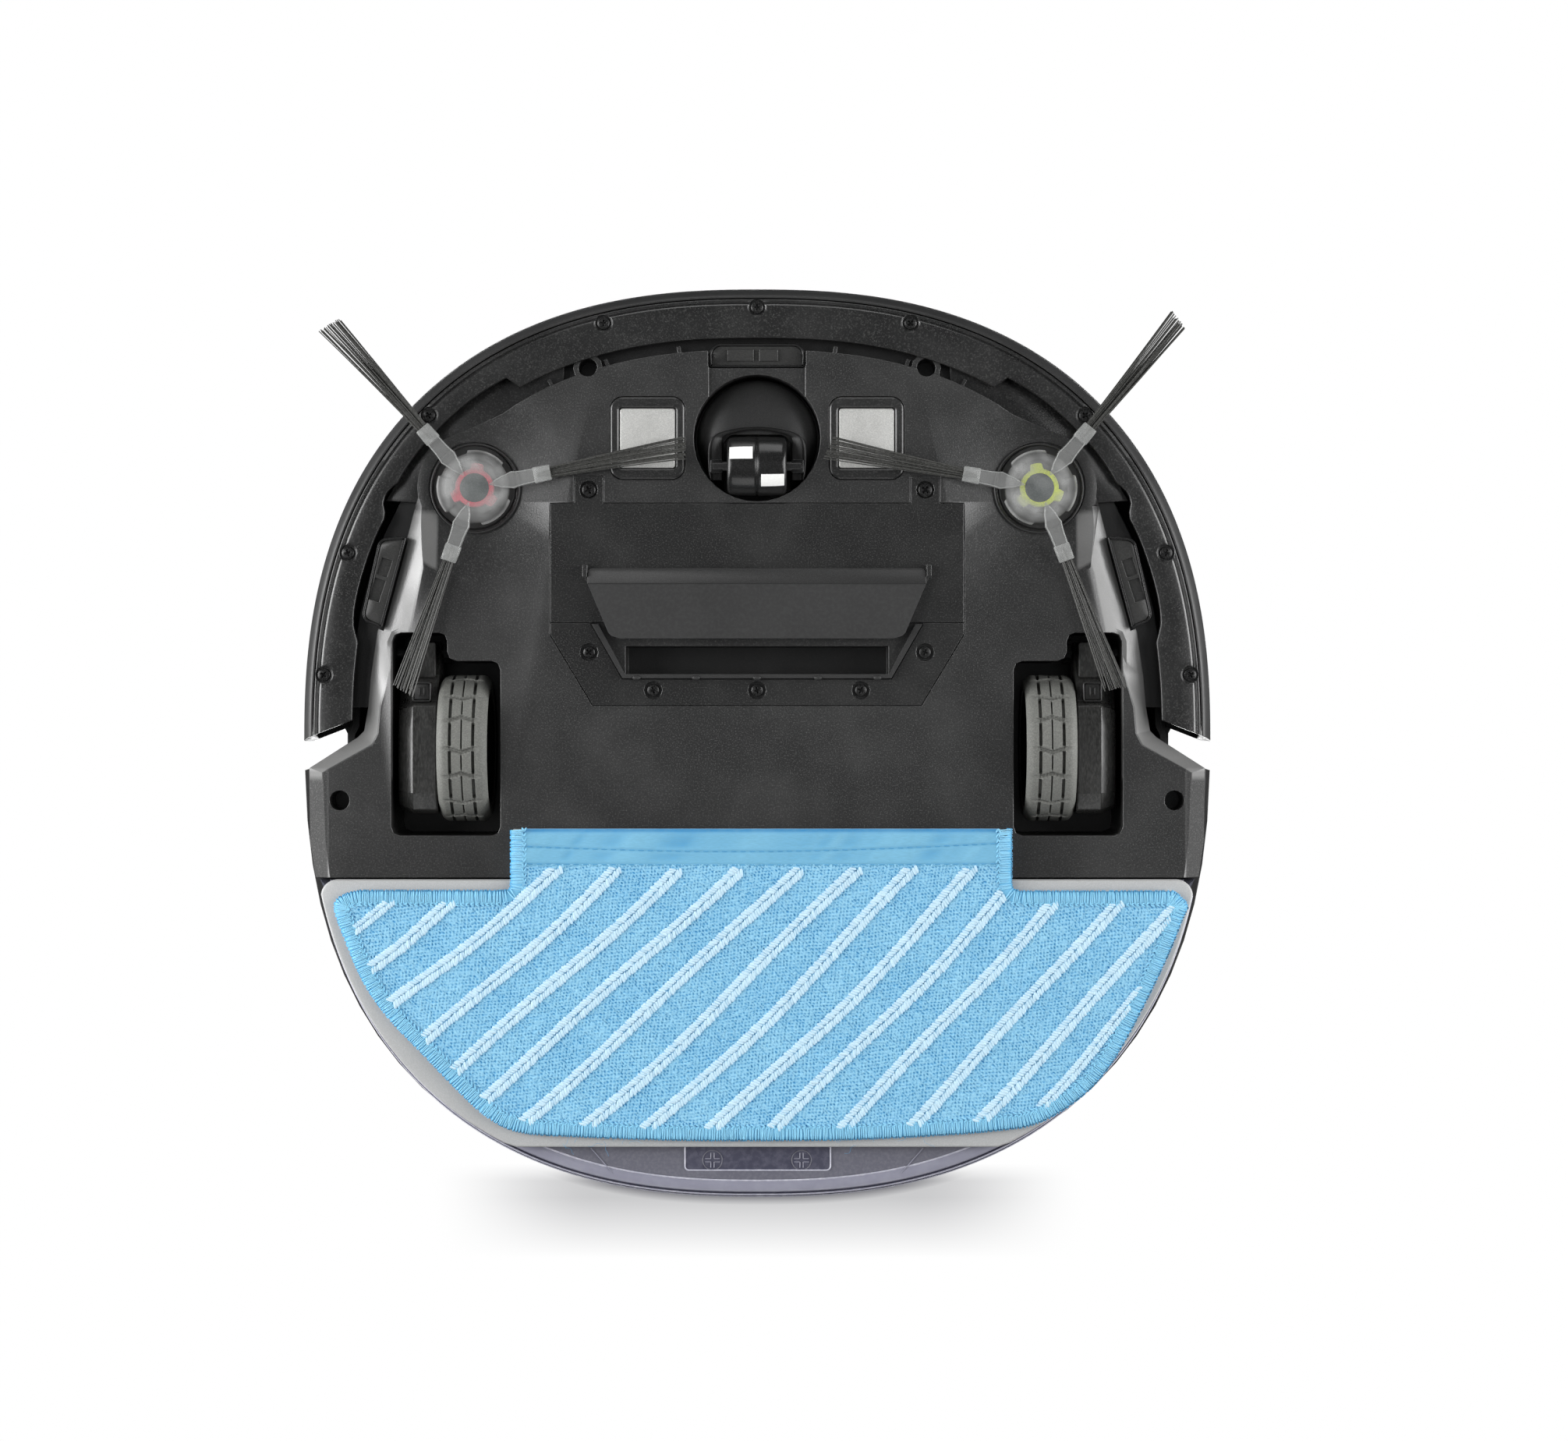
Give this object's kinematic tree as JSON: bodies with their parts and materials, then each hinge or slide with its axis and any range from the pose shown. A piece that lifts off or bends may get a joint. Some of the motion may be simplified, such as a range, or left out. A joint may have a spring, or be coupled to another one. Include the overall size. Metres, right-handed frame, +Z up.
{
  "type": "robot vacuum",
  "caption": "Slim robot vacuum cleaner with side brushes, suction inlet, drive wheels, sprung bumper and a slide-off mop tank.",
  "frame": {"origin": "on the floor, under the middle of the whole machine's box", "axes": "+Z up, -Y the machine's front (bumper side), +X the machine's own left"},
  "size_m": [0.31, 0.31, 0.0573],
  "materials": {
    "textured_charcoal": "fine moulded grain",
    "satin_black": "satin black",
    "black_plastic": "smooth moulded",
    "sensor_black": "smoked glossy window",
    "button_grey": "satin",
    "battery": "shrink-wrapped cells",
    "board_green": "solder mask",
    "motor": "black can",
    "smoked_clear": "transparent smoke grey",
    "filter_paper": "pleated paper",
    "black_rubber": "matt",
    "flap_grey": "smooth matt sheet",
    "steel": "plain",
    "contact_silver": "fine satin",
    "black_screw": "black oxide",
    "frosted_clear": "frosted translucent",
    "core_red": "satin",
    "core_lime": "satin",
    "bristle_grey": "nylon filaments",
    "tyre_grey": "matt grey tread",
    "plate_grey": "satin",
    "blue_microfibre": "looped knit with paler scrub stripes"
  },
  "bodies": {
    "main_body": {"base_chassis": "textured_charcoal", "top_housing": "satin_black", "battery_door": "textured_charcoal", "battery_pack": "battery", "inlet_frame": "textured_charcoal", "inlet_lip": "black_rubber", "main_board": "board_green", "blower_housing": "black_plastic", "dust_bin": "smoked_clear", "dust_filter": "filter_paper", "cliff_window_front": "sensor_black", "lid_hinge_pin": "steel", "inlet_screw_1": "black_screw", "inlet_screw_2": "black_screw", "inlet_screw_3": "black_screw", "inlet_screw_4": "black_screw", "inlet_screw_5": "black_screw", "contact_plate_left": "contact_silver", "contact_plate_right": "contact_silver", "contact_frame_left": "black_plastic", "contact_frame_right": "black_plastic", "cliff_window_left": "sensor_black", "cliff_window_right": "sensor_black", "brush_motor_left": "motor", "brush_motor_right": "motor", "battery_screw_left": "black_screw", "battery_screw_right": "black_screw", "pivot_pin_left": "steel", "pivot_pin_right": "steel"},
    "bumper": {"bumper_shell": "satin_black", "bumper_ring": "textured_charcoal"},
    "lid": {"top_lid": "satin_black"},
    "start_button": {"start_button": "button_grey"},
    "inlet_flap": {"inlet_flap": "flap_grey"},
    "impeller": {"impeller": "button_grey"},
    "caster_turret": {"caster_turret": "black_plastic", "caster_axle": "steel"},
    "caster_wheel": {"caster_wheel": "black_plastic"},
    "mop_unit": {"tank_body": "smoked_clear", "tank_plug": "black_rubber", "mop_plate": "plate_grey", "mop_cloth": "blue_microfibre"},
    "suspension_left": {"wheel_gearbox_left": "black_plastic", "suspension_spring_left": "steel"},
    "wheel_left": {"wheel_rim_left": "black_plastic", "tyre_left": "tyre_grey"},
    "brush_left": {"brush_hub_left": "frosted_clear", "brush_core_left": "core_lime", "brush_tuft_left_1": "bristle_grey", "brush_tuft_left_2": "bristle_grey", "brush_tuft_left_3": "bristle_grey"},
    "suspension_right": {"wheel_gearbox_right": "black_plastic", "suspension_spring_right": "steel"},
    "wheel_right": {"wheel_rim_right": "black_plastic", "tyre_right": "tyre_grey"},
    "brush_right": {"brush_hub_right": "frosted_clear", "brush_core_right": "core_red", "brush_tuft_right_1": "bristle_grey", "brush_tuft_right_2": "bristle_grey", "brush_tuft_right_3": "bristle_grey"}
  },
  "joints": [
    {"name": "bumper_press", "type": "slide", "parent": "main_body", "child": "bumper", "axis": [0, 1, 0], "range_m": [0, 0.003], "stiffness_N_per_m": 500, "springref_m": -0.002},
    {"name": "lid_hinge", "type": "hinge", "parent": "main_body", "child": "lid", "pos_m": [0, -0.0273, 0.0552], "axis": [1, 0, 0], "range_deg": [0, 95]},
    {"name": "start_button_press", "type": "slide", "parent": "main_body", "child": "start_button", "axis": [0, 0, -1], "range_m": [0, 0.001], "stiffness_N_per_m": 600, "springref_m": -0.0005},
    {"name": "inlet_flap_swing", "type": "hinge", "parent": "main_body", "child": "inlet_flap", "pos_m": [0, -0.0578, 0.0066], "axis": [1, 0, 0], "range_deg": [0, 9]},
    {"name": "impeller_spin", "type": "hinge", "parent": "main_body", "child": "impeller", "pos_m": [0, 0.092, 0.04], "axis": [0, 0, 1], "continuous": true},
    {"name": "caster_swivel", "type": "hinge", "parent": "main_body", "child": "caster_turret", "pos_m": [0, -0.1027, 0.02], "axis": [0, 0, 1], "continuous": true},
    {"name": "caster_roll", "type": "hinge", "parent": "caster_turret", "child": "caster_wheel", "pos_m": [0, -0.0932, 0.01], "axis": [1, 0, 0], "continuous": true},
    {"name": "tank_slide", "type": "slide", "parent": "main_body", "child": "mop_unit", "axis": [0, 1, 0], "range_m": [0, 0.13]},
    {"name": "suspension_left", "type": "hinge", "parent": "main_body", "child": "suspension_left", "pos_m": [0.1146, -0.031, 0.03], "axis": [1, 0, 0], "range_deg": [-14, 0], "stiffness_Nm_per_rad": 0.15, "springref_deg": -22.92},
    {"name": "wheel_spin_left", "type": "hinge", "parent": "suspension_left", "child": "wheel_left", "pos_m": [0.099, 0.0019, 0.025], "axis": [1, 0, 0], "continuous": true},
    {"name": "brush_spin_left", "type": "hinge", "parent": "main_body", "child": "brush_left", "pos_m": [0.0958, -0.0864, 0.009], "axis": [0, 0, 1], "continuous": true},
    {"name": "suspension_right", "type": "hinge", "parent": "main_body", "child": "suspension_right", "pos_m": [-0.1146, -0.031, 0.03], "axis": [1, 0, 0], "range_deg": [-14, 0], "stiffness_Nm_per_rad": 0.15, "springref_deg": -22.92},
    {"name": "wheel_spin_right", "type": "hinge", "parent": "suspension_right", "child": "wheel_right", "pos_m": [-0.099, 0.0019, 0.025], "axis": [1, 0, 0], "continuous": true},
    {"name": "brush_spin_right", "type": "hinge", "parent": "main_body", "child": "brush_right", "pos_m": [-0.0958, -0.0864, 0.009], "axis": [0, 0, 1], "continuous": true}
  ]
}
